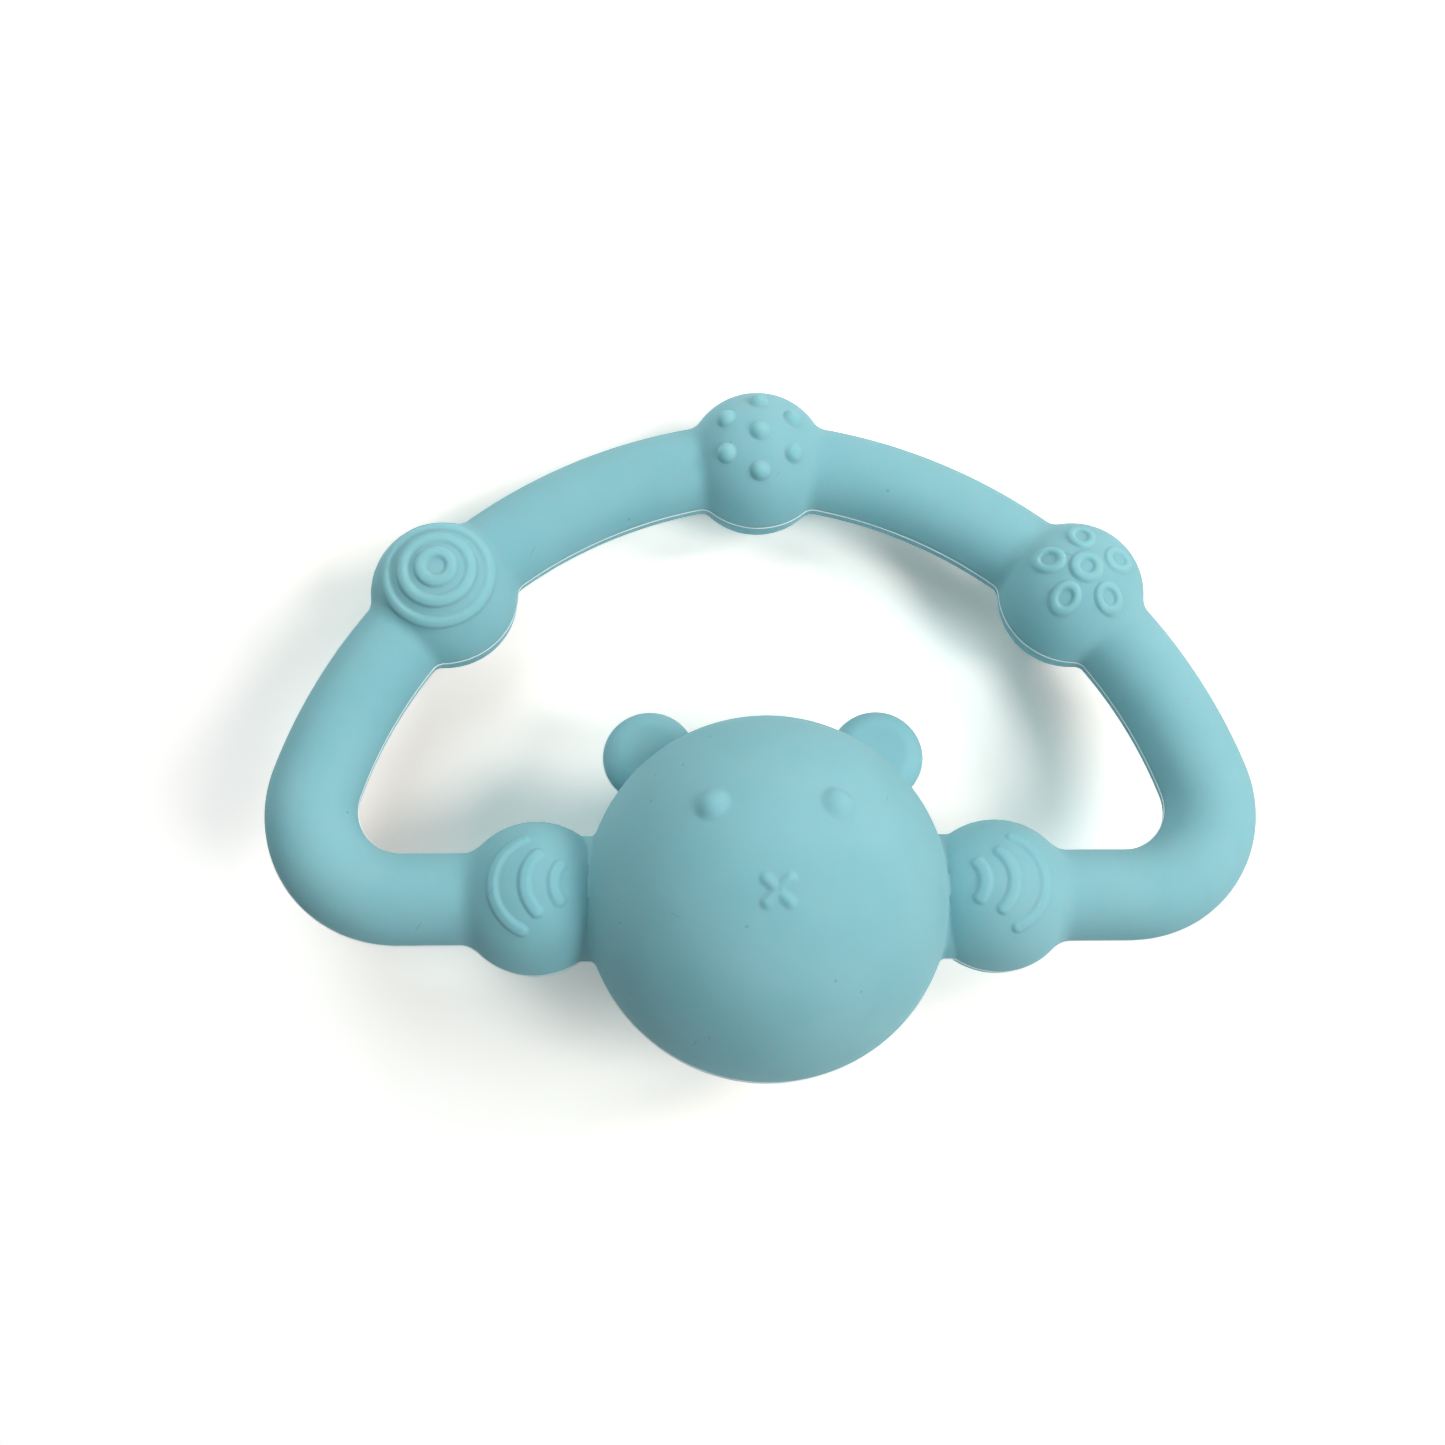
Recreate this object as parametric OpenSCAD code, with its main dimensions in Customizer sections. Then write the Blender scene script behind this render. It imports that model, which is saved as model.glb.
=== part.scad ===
// Teething ring: a silicone grip ring with a rattling bear head and five textured beads.
// The ring is drawn flat in its own mid-plane, with the face towards +Z and the arch towards +Y.
// It is then laid on a table, where it rests on the head and on the bead at the top of the arch.

/* [Ring] */
// Overall width, across the two lower corners
ring_w = 95; // [90:1:104]
// Overall height, from the bottom of the head to the top of the upper bead
ring_h = 70; // [67:1:76]
// Diameter of the grip tube
tube_d = 8.7; // [7.5:0.1:10]
// Centreline radius of the two lower corners
corner_r = 8.8; // [7:0.2:10.6]
// Centreline radius of each side of the arch
arch_r = 48; // [46:1:54]
// Depth of the small flats where the soft head and top bead settle on the table
rest_flat = 0.15; // [0.1:0.05:0.4]

/* [Beads] */
// Diameter of the five beads
bead_d = 14.5; // [13.5:0.1:15.5]
// Distance from the head's centre to a lower bead's centre
low_bead_x = 21.7; // [21:0.1:22.8]
// Height of the two side beads above the straight bar
side_bead_y = 30.9; // [27:0.5:33]
// Blend radius where the straight bar runs into a lower bead
bar_blend_r = 2; // [1:0.1:2.6]
// Blend radius where the arch runs into a bead
arch_blend_r = 1.5; // [0.8:0.1:2]

/* [Head] */
// Diameter of the head
head_d = 34.4; // [33:0.2:35.6]
// Silicone wall of the hollow head
head_wall = 3.2; // [2.4:0.2:4.4]
// Blend radius of the neck between the head and a lower bead
neck_blend_r = 1; // [0.6:0.1:1.8]
// Diameter of an ear
ear_d = 9; // [7.6:0.2:10.4]
// Thickness of an ear, which has a fully rounded rim
ear_t = 4.4; // [3.6:0.2:5.4]
// Distance from the head's centre to an ear's centre
ear_reach = 17.7; // [16.6:0.1:18.4]
// Angle of an ear above the straight bar
ear_angle = 51.5; // [46:0.5:58]
// Diameter of the shallow dish in the front of an ear
ear_dish_d = 5.2; // [3:0.2:5.6]
// Depth of that dish
ear_dish_depth = 0.2; // [0.1:0.05:0.5]

/* [Face] */
// Distance between the two eyes
eye_gap = 11; // [9:0.5:14]
// Height of the eyes above the middle of the face
eye_lift = 4.8; // [3:0.2:7]
// Diameter of an eye, a low dome
eye_d = 3; // [2.4:0.1:4]
// Height of an eye above the face
eye_h = 0.75; // [0.3:0.05:0.9]
// Distance of the cross-shaped nose below the middle of the face
nose_drop = 3.2; // [2:0.2:5]
// Length of each bar of the nose, tip to tip
nose_span = 3.9; // [3:0.1:5]
// Width of each bar of the nose
nose_w = 1; // [0.7:0.1:1.4]
// Height of the nose above the face
nose_h = 0.3; // [0.2:0.05:0.6]

/* [Bead textures] */
// Diameter of a dot on the top bead
dot_d = 2.1; // [1.5:0.1:2.4]
// Height of a dot
dot_h = 0.7; // [0.4:0.05:0.9]
// Distance of the outer dots from the middle one
dot_spread = 3.8; // [3:0.1:4.2]
// Centreline radii of the concentric ridges on the left side bead
ridge_r = [1.5, 3.3, 5]; // [1.2:0.1:5.4]
// Width of a concentric ridge
ridge_w = 1.25; // [0.9:0.05:1.5]
// Height of a concentric ridge
ridge_h = 0.45; // [0.3:0.05:0.6]
// Centreline diameter of a ringlet on the right side bead
ringlet_d = 2.35; // [2:0.05:2.6]
// Width of a ringlet's ridge
ringlet_w = 0.9; // [0.6:0.05:1.05]
// Height of a ringlet
ringlet_h = 0.46; // [0.3:0.02:0.54]
// Distance of the outer ringlets from the middle one
ringlet_spread = 3.65; // [3.4:0.05:4.2]
// Centreline radii of the nested arcs on a lower bead, from the tube towards the head
arc_r = [4.6, 3.5, 2.3]; // [2:0.1:5.2]
// Distance of each arc's middle from the bead's middle, positive towards the head
arc_apex = [-3.5, -0.5, 2.1]; // [-4:0.1:3]
// Half of the angle that each arc sweeps
arc_half = [66, 49, 48]; // [30:1:75]
// Width of an arc's ridge
arc_w = 1.2; // [0.9:0.05:1.4]
// Height of an arc
arc_h = 0.32; // [0.25:0.01:0.5]

/* [Rattle] */
// Wall of the hard rattle capsule
capsule_wall = 1.6; // [1.2:0.1:2]
// Gap between the capsule and the silicone round it
capsule_gap = 0.05; // [0.02:0.01:0.2]
// Depth of the tongue that joins the capsule's halves
lip_h = 1.4; // [1:0.1:2.4]
// Gap between the tongue and its rebate
lip_gap = 0.1; // [0.05:0.05:0.2]
// Diameter of a rattle pellet
pellet_d = 5; // [3.6:0.1:5.4]
// Least gap from a pellet to the capsule and to the next pellet
pellet_gap = 0.2; // [0.1:0.05:0.4]

/* [Hidden] */
$fn = 96;
silicone = "#86C3CD";
capsule_white = "#F1EEE6";
pellet_grey = "#A9ADB0";

tube_r = tube_d / 2;
bead_r = bead_d / 2;
head_r = head_d / 2;

// A corner, or the round end of a raised bar, is this much thicker in radius than what runs into it
end_swell = 0.03;
// Length by which the straight bar and the long arc reach into a corner
corner_lap = 0.4;

// Ring path: a straight bar on the X axis, a corner arc and a long arc on each side.
// The long arcs meet inside the top bead, and each runs smoothly into its corner.
top_y = ring_h - head_r - bead_r;
corner_tube_r = tube_r + end_swell;
corner_c = [ring_w / 2 - corner_tube_r - corner_r, corner_r];
top_to_corner = corner_c - [0, top_y];
span = norm(top_to_corner);
span_a = atan2(top_to_corner.y, top_to_corner.x);
arch_fan = acos((arch_r * arch_r + span * span - pow(arch_r - corner_r, 2)) / (2 * arch_r * span));
arch_c = [0, top_y] + arch_r * [cos(span_a - arch_fan), sin(span_a - arch_fan)];
join_a = atan2(corner_c.y - arch_c.y, corner_c.x - arch_c.x);
top_a = atan2(top_y - arch_c.y, -arch_c.x);
// The long arc ends inside the top bead, half of the bead's radius from its middle
top_stop_a = top_a - asin(bead_r / 2 / arch_r);
side_a = asin((side_bead_y - arch_c.y) / arch_r);
side_bead = arch_c + arch_r * [cos(side_a), sin(side_a)];

// A blend touches the balls and tubes that it joins this far under their surfaces
blend_sink = 0.03;
blend_head_r = head_r - blend_sink;
blend_bead_r = bead_r - blend_sink;
blend_tube_r = tube_r - blend_sink;
arch_blend_reach = blend_reach(blend_bead_r, blend_tube_r, arch_blend_r);
arch_blend_turn = asin(arch_blend_reach / (2 * arch_r));

// Middle of the neck's blend, from the radii of the head and the bead that it touches
neck_from_head = blend_head_r + neck_blend_r;
neck_from_bead = blend_bead_r + neck_blend_r;
neck_x = (pow(low_bead_x, 2) + pow(neck_from_head, 2) - pow(neck_from_bead, 2)) / (2 * low_bead_x);
neck_y = sqrt(pow(neck_from_head, 2) - neck_x * neck_x);

// Rattle, from the head's wall inwards
cavity_r = head_r - head_wall;
capsule_r = cavity_r - capsule_gap;
capsule_in_r = capsule_r - capsule_wall;
lip_r = capsule_in_r + capsule_wall / 2;
pellet_r = pellet_d / 2;
pellet_reach = capsule_in_r - pellet_r - pellet_gap;
lane_r = pellet_d + pellet_gap;

// Pose on the table, with the origin below the middle of the part's box
rest_tilt = asin((head_r - bead_r) / top_y);
head_z = head_r - rest_flat;
rest_y = (head_r - bead_r - top_y * cos(rest_tilt)) / 2;

// Distance from a ball's centre to the end of the blend between it and a tube
function blend_reach(ball_r, stem_r, blend_r) = sqrt(pow(ball_r + blend_r, 2) - pow(stem_r + blend_r, 2));

// Sphere radius of a dome or dish with a given rim diameter and height
function dome_r(rim_d, height) = (rim_d * rim_d / 4 + height * height) / (2 * height);

// Angle from a ball's pole to a point at a given distance from the pole's axis
function pole_angle(offset, ball_r) = asin(offset / ball_r);

// Lays the ring down on the table
module on_table() {
    translate([0, rest_y, head_z])
        rotate([-rest_tilt, 0, 0])
            children();
}

// Space below the table's top
module under_table() {
    translate([-ring_w, -ring_h, -ring_h])
        cube([2 * ring_w, 2 * ring_h, ring_h]);
}

// Moves a shape to a distance from a ball's centre, tilted from +Z towards an azimuth
module on_ball(polar, azimuth, distance) {
    rotate([0, polar, azimuth])
        translate([0, 0, distance])
            children();
}

// Half space in front of the mid-plane, or behind it
module half_space(front) {
    translate([-ring_w, -ring_h, front ? 0 : -ring_h])
        cube([2 * ring_w, 3 * ring_h, ring_h]);
}

// Hollow cone of silicone between a ball and a tube, drawn as radius against length
module blend_profile(ball_r, stem_r, blend_r) {
    middle = [stem_r + blend_r, blend_reach(ball_r, stem_r, blend_r)];
    difference() {
        polygon([[0, 0], middle, [0, middle.y]]);
        translate(middle)
            circle(r = blend_r);
    }
}

// One side of the bar: neck, lower bead, blend and tube, drawn as radius against length
module bar_side_profile() {
    difference() {
        polygon([[0, 0], [neck_y, neck_x], [0, low_bead_x]]);
        translate([neck_y, neck_x])
            circle(r = neck_blend_r);
    }
    translate([0, low_bead_x]) {
        circle(r = bead_r);
        blend_profile(blend_bead_r, blend_tube_r, bar_blend_r);
        square([tube_r, corner_c.x + corner_lap - low_bead_x]);
    }
}

// Head, lower beads and straight tubes in one turned shape
module bar() {
    rotate([0, 90, 0])
        rotate_extrude()
            intersection() {
                union() {
                    circle(r = head_r);
                    bar_side_profile();
                    mirror([0, 1])
                        bar_side_profile();
                }
                translate([0, -ring_w])
                    square([ring_w, 2 * ring_w]);
            }
}

// Length of tube bent round a centre, from one angle to another
module bent_tube(centre, bend_r, section_r, from_a, to_a) {
    translate(centre)
        rotate([0, 0, from_a])
            rotate_extrude(angle = to_a - from_a)
                translate([bend_r, 0])
                    circle(r = section_r);
}

// Blend between an arch bead and the tube that leaves it in a given direction
module arch_blend(direction) {
    rotate([0, 0, direction])
        rotate([0, 90, 0])
            rotate_extrude()
                blend_profile(blend_bead_r, blend_tube_r, arch_blend_r);
}

// Right side of the arch: corner, long arc, side bead and the blends at the beads
module arch_side() {
    bent_tube(corner_c, corner_r, corner_tube_r, -90, join_a);
    bent_tube(arch_c, arch_r, tube_r, join_a - asin(corner_lap / arch_r), top_stop_a);
    translate(side_bead) {
        sphere(r = bead_r);
        arch_blend(side_a + 90 + arch_blend_turn);
        arch_blend(side_a - 90 - arch_blend_turn);
    }
    translate([0, top_y])
        arch_blend(top_a - 90 - arch_blend_turn);
}

// Disc ear with a rounded rim and a shallow dish in its front
module ear() {
    rim_r = ear_t / 2;
    dish_r = dome_r(ear_dish_d, ear_dish_depth);
    translate(ear_reach * [cos(ear_angle), sin(ear_angle)])
        difference() {
            rotate_extrude()
                union() {
                    translate([0, -rim_r])
                        square([ear_d / 2 - rim_r, ear_t]);
                    intersection() {
                        translate([ear_d / 2 - rim_r, 0])
                            circle(r = rim_r);
                        translate([0, -rim_r])
                            square([ear_d, ear_t]);
                    }
                }
            translate([0, 0, rim_r - ear_dish_depth + dish_r])
                sphere(r = dish_r);
        }
}

// Whole outside form, without the face and the textures
module ring_form() {
    bar();
    arch_side();
    mirror([1, 0, 0])
        arch_side();
    translate([0, top_y])
        sphere(r = bead_r);
    ear();
    mirror([1, 0, 0])
        ear();
}

// Two dome eyes and a nose of two crossed bars
module face() {
    eye_dome = dome_r(eye_d, eye_h);
    for (side = [-1, 1])
        on_ball(
            pole_angle(norm([eye_gap / 2, eye_lift]), head_r),
            atan2(eye_lift, side * eye_gap / 2),
            head_r + eye_h - eye_dome
        )
            sphere(r = eye_dome);
    on_ball(pole_angle(nose_drop, head_r), -90, head_r + nose_h - nose_w / 2)
        for (turn = [-45, 45])
            rotate([90, 0, turn])
                nose_bar();
}

// Bar with round ends, along Z
module nose_bar() {
    straight = nose_span - nose_w;
    cylinder(d = nose_w, h = straight, center = true);
    for (end = [-1, 1])
        translate([0, 0, end * straight / 2])
            sphere(r = nose_w / 2 + end_swell);
}

// One dot in the middle and six round it
module dots() {
    height = bead_r + dot_h - dot_d / 2;
    on_ball(0, 0, height)
        sphere(d = dot_d);
    for (i = [0:5])
        on_ball(pole_angle(dot_spread, bead_r), 30 + 60 * i, height)
            sphere(d = dot_d);
}

// Ridges round the bead's pole, like a target
module ridges() {
    middle_r = bead_r + ridge_h - ridge_w / 2;
    for (r = ridge_r)
        translate([0, 0, sqrt(middle_r * middle_r - r * r)])
            rotate_extrude()
                translate([r, 0])
                    circle(d = ridge_w);
}

// One small ring in the middle and five round it
module ringlets() {
    middle_r = bead_r + ringlet_h - ringlet_w / 2;
    height = sqrt(middle_r * middle_r - ringlet_d * ringlet_d / 4);
    on_ball(0, 0, height)
        ringlet();
    for (i = [0:4])
        on_ball(pole_angle(ringlet_spread, bead_r), 90 + 72 * i, height)
            ringlet();
}

// Ring of round section, lying flat
module ringlet() {
    rotate_extrude()
        translate([ringlet_d / 2, 0])
            circle(d = ringlet_w);
}

// Nested arcs with round ends that open towards the head, for the bead on the +X side
module arcs() {
    middle_r = bead_r + arc_h - arc_w / 2;
    for (i = [0:len(arc_r) - 1]) {
        polar = pole_angle(arc_r[i], middle_r);
        lean = polar + pole_angle(arc_apex[i], middle_r);
        rotate([0, -lean, 0])
            translate([0, 0, middle_r * cos(polar)])
                round_arc(arc_r[i], arc_half[i]);
    }
}

// Arc of round section about +X, with ball ends
module round_arc(bend_r, half) {
    rotate([0, 0, -half])
        rotate_extrude(angle = 2 * half)
            translate([bend_r, 0])
                circle(d = arc_w);
    for (end = [-half, half])
        rotate([0, 0, end])
            translate([bend_r, 0])
                sphere(r = arc_w / 2 + end_swell);
}

// Face and textures, all on the front of the ring
module relief() {
    face();
    translate([0, top_y])
        dots();
    translate([-side_bead.x, side_bead.y])
        ridges();
    translate(side_bead)
        ringlets();
    translate([low_bead_x, 0])
        arcs();
    translate([-low_bead_x, 0])
        mirror([1, 0, 0])
            arcs();
}

// Front silicone moulding, bonded to the rear one at the mid-plane
module front_half() {
    color(silicone)
        on_table()
            difference() {
                union() {
                    intersection() {
                        ring_form();
                        half_space(true);
                    }
                    relief();
                }
                sphere(r = cavity_r);
            }
}

// Rear silicone moulding, smooth but for the two flats that it rests on
module rear_half() {
    color(silicone)
        difference() {
            on_table()
                difference() {
                    intersection() {
                        ring_form();
                        half_space(false);
                    }
                    sphere(r = cavity_r);
                }
            under_table();
        }
}

// Half of the capsule's wall, drawn as radius against height
module capsule_wall_profile() {
    difference() {
        intersection() {
            circle(r = capsule_r);
            square(capsule_r);
        }
        circle(r = capsule_in_r);
    }
}

// Front half of the rattle capsule, with a tongue that reaches into the rear half
module capsule_front() {
    color(capsule_white)
        on_table()
            rotate_extrude() {
                capsule_wall_profile();
                translate([capsule_in_r, -lip_h])
                    square([lip_r - lip_gap - capsule_in_r, 2 * lip_h]);
            }
}

// Rear half of the rattle capsule, with a rebate for the tongue
module capsule_rear() {
    color(capsule_white)
        on_table()
            rotate_extrude()
                difference() {
                    mirror([0, 1])
                        capsule_wall_profile();
                    translate([0, -lip_h - lip_gap])
                        square([lip_r, 2 * lip_h]);
                }
}

// Rattle pellet at the bottom of the capsule: number 1 in the middle, the others round it
module pellet(number) {
    lane = number == 1 ? 0 : lane_r;
    azimuth = 60 * (number - 2);
    drop = sqrt(pellet_reach * pellet_reach - lane * lane);
    color(pellet_grey)
        translate([lane * cos(azimuth), rest_y + lane * sin(azimuth), head_z - drop])
            sphere(r = pellet_r);
}

front_half();
rear_half();
capsule_front();
capsule_rear();
pellet(1);  // pellet_1
pellet(2);  // pellet_2
pellet(3);  // pellet_3
pellet(4);  // pellet_4
pellet(5);  // pellet_5
pellet(6);  // pellet_6
pellet(7);  // pellet_7
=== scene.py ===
"""Looks of a silicone teething ring with five textured beads and a bear's head that rattles.

The moulding is worked out in its own mid-plane, in millimetres: the face looks along +Z and the arch
stands along +Y, with the head's centre at the origin. It is then laid down on the head and the top bead.
"""

import logging
import math
from collections.abc import Iterable, Mapping
from dataclasses import dataclass, field, fields
from enum import Enum
from typing import Any

import bmesh
import bpy
from mathutils import Matrix, Vector


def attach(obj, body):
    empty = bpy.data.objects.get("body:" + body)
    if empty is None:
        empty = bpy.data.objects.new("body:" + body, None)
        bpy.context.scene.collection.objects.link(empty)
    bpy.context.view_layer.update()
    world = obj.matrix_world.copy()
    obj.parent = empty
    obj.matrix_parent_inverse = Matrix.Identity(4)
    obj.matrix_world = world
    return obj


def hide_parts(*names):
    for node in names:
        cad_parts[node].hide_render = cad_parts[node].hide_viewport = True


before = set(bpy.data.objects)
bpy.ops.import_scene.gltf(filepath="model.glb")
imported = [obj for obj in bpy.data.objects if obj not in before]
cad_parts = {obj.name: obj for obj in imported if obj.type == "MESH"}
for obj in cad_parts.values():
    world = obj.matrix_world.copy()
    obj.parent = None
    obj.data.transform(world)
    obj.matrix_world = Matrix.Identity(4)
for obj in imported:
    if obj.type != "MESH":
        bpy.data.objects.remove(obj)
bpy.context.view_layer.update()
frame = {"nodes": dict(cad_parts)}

MM = 0.001
X_AXIS = Vector((1.0, 0.0, 0.0))
Y_AXIS = Vector((0.0, 1.0, 0.0))
Z_AXIS = Vector((0.0, 0.0, 1.0))
WHITE = (1.0, 1.0, 1.0, 1.0)
log = logging.getLogger("teething_ring")


class Half(Enum):
    """The two silicone halves, by the side of the mid-plane that they lie on."""

    FRONT = 1.0
    REAR = -1.0


class Slot(Enum):
    """Material slots of the record."""

    SILICONE = "silicone"
    CAPSULE = "capsule"
    PELLET = "pellet"


class Mark(Enum):
    """Numbers that the points of the moulding's mesh carry."""

    FINE = "fine"
    TEXTURE_GAP = "texture_gap"


def linear(colour: str) -> tuple[float, float, float, float]:
    """Turns an sRGB hex colour into linear RGBA.

    Args:
        colour: Six hex digits after a hash mark.

    Returns:
        Red, green, blue and an alpha of one.
    """
    levels = (int(colour[i:i + 2], 16) / 255 for i in (1, 3, 5))
    r, g, b = (v / 12.92 if v <= 0.04045 else ((v + 0.055) / 1.055) ** 2.4 for v in levels)
    return (r, g, b, 1.0)


def per_mm(size: float) -> float:
    """Texture scale of a pattern that repeats about once in that many millimetres."""
    return 1 / (size * MM)


def spread(polar: float, azimuth: float) -> Vector:
    """Direction at an angle off +Z, turned about +Z from +X, both in radians."""
    return Vector((math.sin(polar) * math.cos(azimuth), math.sin(polar) * math.sin(azimuth), math.cos(polar)))


def feed(node: bpy.types.Node, inputs: Mapping[Any, Any]) -> None:
    """Feeds a node's inputs.

    Args:
        node: The node.
        inputs: Values, sockets or fields by input name or number.
    """
    for key, value in inputs.items():
        value = value.socket if isinstance(value, Field) else value
        if isinstance(value, bpy.types.NodeSocket):
            node.id_data.links.new(value, node.inputs[key])
        else:
            node.inputs[key].default_value = value


def add_node(tree: bpy.types.NodeTree, kind: str, inputs: Mapping[Any, Any] | None = None,
             **settings: Any) -> bpy.types.Node:
    """Adds one node, sets it up and feeds its inputs.

    Args:
        tree: The tree that takes the node.
        kind: The node's type name.
        inputs: Values, sockets or fields by input name or number.
        settings: Properties of the node.

    Returns:
        The new node.
    """
    node = tree.nodes.new(kind)
    for name, value in settings.items():
        setattr(node, name, value)
    feed(node, inputs or {})
    return node


def apply_tree(obj: bpy.types.Object, tree: bpy.types.NodeTree, values: Mapping[str, Any]) -> bpy.types.Mesh:
    """Runs a geometry node tree on an object.

    Args:
        obj: Object that the tree works on.
        tree: The tree.
        values: Values of its inputs, by name.

    Returns:
        A plain mesh of its own, with the modifier gone from the object.
    """
    modifier = obj.modifiers.new(tree.name, "NODES")
    modifier.node_group = tree
    for item in tree.interface.items_tree:
        if item.in_out == "INPUT" and item.name in values:
            modifier[item.identifier] = values[item.name]
    deps = bpy.context.evaluated_depsgraph_get()
    done = obj.evaluated_get(deps)
    mesh = bpy.data.meshes.new_from_object(done, preserve_all_data_layers=True, depsgraph=deps)
    obj.modifiers.remove(modifier)
    return mesh


class Field:
    """A number, a vector or a mesh that a node tree works out."""

    def __init__(self, tree: bpy.types.NodeTree, socket: bpy.types.NodeSocket) -> None:
        """Takes a socket of a tree as the value."""
        self.tree = tree
        self.socket = socket

    @classmethod
    def of(cls, tree: bpy.types.NodeTree, kind: str, inputs: Mapping[Any, Any] | None = None,
           **settings: Any) -> "Field":
        """First output of a new node."""
        return cls(tree, add_node(tree, kind, inputs, **settings).outputs[0])

    def math(self, operation: str, *others: "Field | float") -> "Field":
        """This number and others through one operation."""
        values = dict(enumerate((self, *others)))
        return Field.of(self.tree, "ShaderNodeMath", values, operation=operation)

    def vector(self, operation: str, *others: "Field | Vector", **scale: "Field | float") -> "Field":
        """Takes this vector and others through one operation.

        Args:
            operation: Name of the operation.
            others: Its further vectors.
            scale: Its scale, by the input's name, where it has one.

        Returns:
            The vector or the number that comes out.
        """
        values = dict(enumerate((self, *others))) | scale
        node = add_node(self.tree, "ShaderNodeVectorMath", values, operation=operation)
        return Field(self.tree, next(out for out in node.outputs if out.enabled))

    def parts(self) -> "list[Field]":
        """The three numbers of this vector."""
        node = add_node(self.tree, "ShaderNodeSeparateXYZ", {0: self})
        return [Field(self.tree, out) for out in node.outputs]

    def joined(self, y: "Field | float", z: "Field | float") -> "Field":
        """A vector with this number as its first."""
        return Field.of(self.tree, "ShaderNodeCombineXYZ", {0: self, 1: y, 2: z})

    def along(self, direction: Vector) -> "Field":
        """A vector of this length in a fixed direction."""
        return Field.of(self.tree, "ShaderNodeVectorMath", {0: direction, "Scale": self}, operation="SCALE")

    def __add__(self, other: "Field | float") -> "Field":
        """The sum of two numbers."""
        return self.math("ADD", other)

    def __sub__(self, other: "Field | float") -> "Field":
        """The first number less the second."""
        return self.math("SUBTRACT", other)

    def __mul__(self, other: "Field | float") -> "Field":
        """The product of two numbers."""
        return self.math("MULTIPLY", other)

    def __neg__(self) -> "Field":
        """The number with its sign turned."""
        return self.math("MULTIPLY", -1.0)

    def __abs__(self) -> "Field":
        """The number without its sign."""
        return self.math("ABSOLUTE")

    def least(self, other: "Field | float") -> "Field":
        """The smaller of two numbers."""
        return self.math("MINIMUM", other)

    def most(self, other: "Field | float") -> "Field":
        """The larger of two numbers."""
        return self.math("MAXIMUM", other)

    def hypot(self, other: "Field") -> "Field":
        """Length of the two numbers taken at right angles."""
        return (self * self + other * other).math("SQRT")

    def ramp(self, low: float, high: float, start: float = 0.0, end: float = 1.0) -> "Field":
        """This number taken from one span to another, held at both ends."""
        inputs = {"Value": self, 1: low, 2: high, 3: start, 4: end}
        return Field.of(self.tree, "ShaderNodeMapRange", inputs)


def ball(p: Field, centre: "Field | Vector", r: Field) -> Field:
    """Distance from a point to a ball."""
    return p.vector("DISTANCE", centre) - r


def rod(p: Field, centre: "Field | Vector", axis: Vector, half: "Field | float", r: Field) -> Field:
    """Distance from a point to a straight bar with round ends.

    Args:
        p: The point.
        centre: Middle of the bar.
        axis: Direction of the bar.
        half: Half of the bar's straight length.
        r: Radius of the bar.

    Returns:
        The distance, which is negative inside.
    """
    arm = p.vector("SUBTRACT", centre)
    run = arm.vector("DOT_PRODUCT", axis).least(half).most(-half)
    return arm.vector("DISTANCE", run.along(axis)) - r


def bent_rod(p: Field, centre: "Field | Vector", middle: Vector, axis: Vector, bend: "Field | float",
             r: Field, half: float = math.pi) -> Field:
    """Distance from a point to a round bar that is bent to an arc, with round ends.

    Args:
        p: The point.
        centre: Centre of the arc.
        middle: Direction from the centre to the arc's middle.
        axis: Direction that the arc turns about.
        bend: Radius of the arc's centre line.
        r: Radius of the bar.
        half: Half of the arc's angle, a whole ring where it is pi.

    Returns:
        The distance, which is negative inside.
    """
    arm = p.vector("SUBTRACT", centre)
    u = arm.vector("DOT_PRODUCT", middle)
    v = abs(arm.vector("DOT_PRODUCT", axis.cross(middle)))
    flat = u.hypot(v) - bend
    if half < math.pi:
        end = (u - bend * math.cos(half)).hypot(v - bend * math.sin(half))
        beyond = (v * math.cos(half)).math("GREATER_THAN", u * math.sin(half))
        flat = abs(flat) + beyond * (end - abs(flat))
    return flat.hypot(arm.vector("DOT_PRODUCT", axis)) - r


def blend(a: Field, b: Field, r: Field) -> Field:
    """Joins two solids with a rounded inner corner that starts at distance r from both."""
    inside = a.least(b).most(r)
    return inside - (r - a).most(0.0).hypot((r - b).most(0.0))


def carve(a: Field, b: Field, r: Field) -> Field:
    """Takes the second solid out of the first and rounds the edge that is left."""
    return -blend(-a, b, r)


def overlap(a: Field, b: Field, r: Field) -> Field:
    """Keeps what lies in both solids and rounds the edge between them."""
    return -blend(-a, -b, r)


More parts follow.
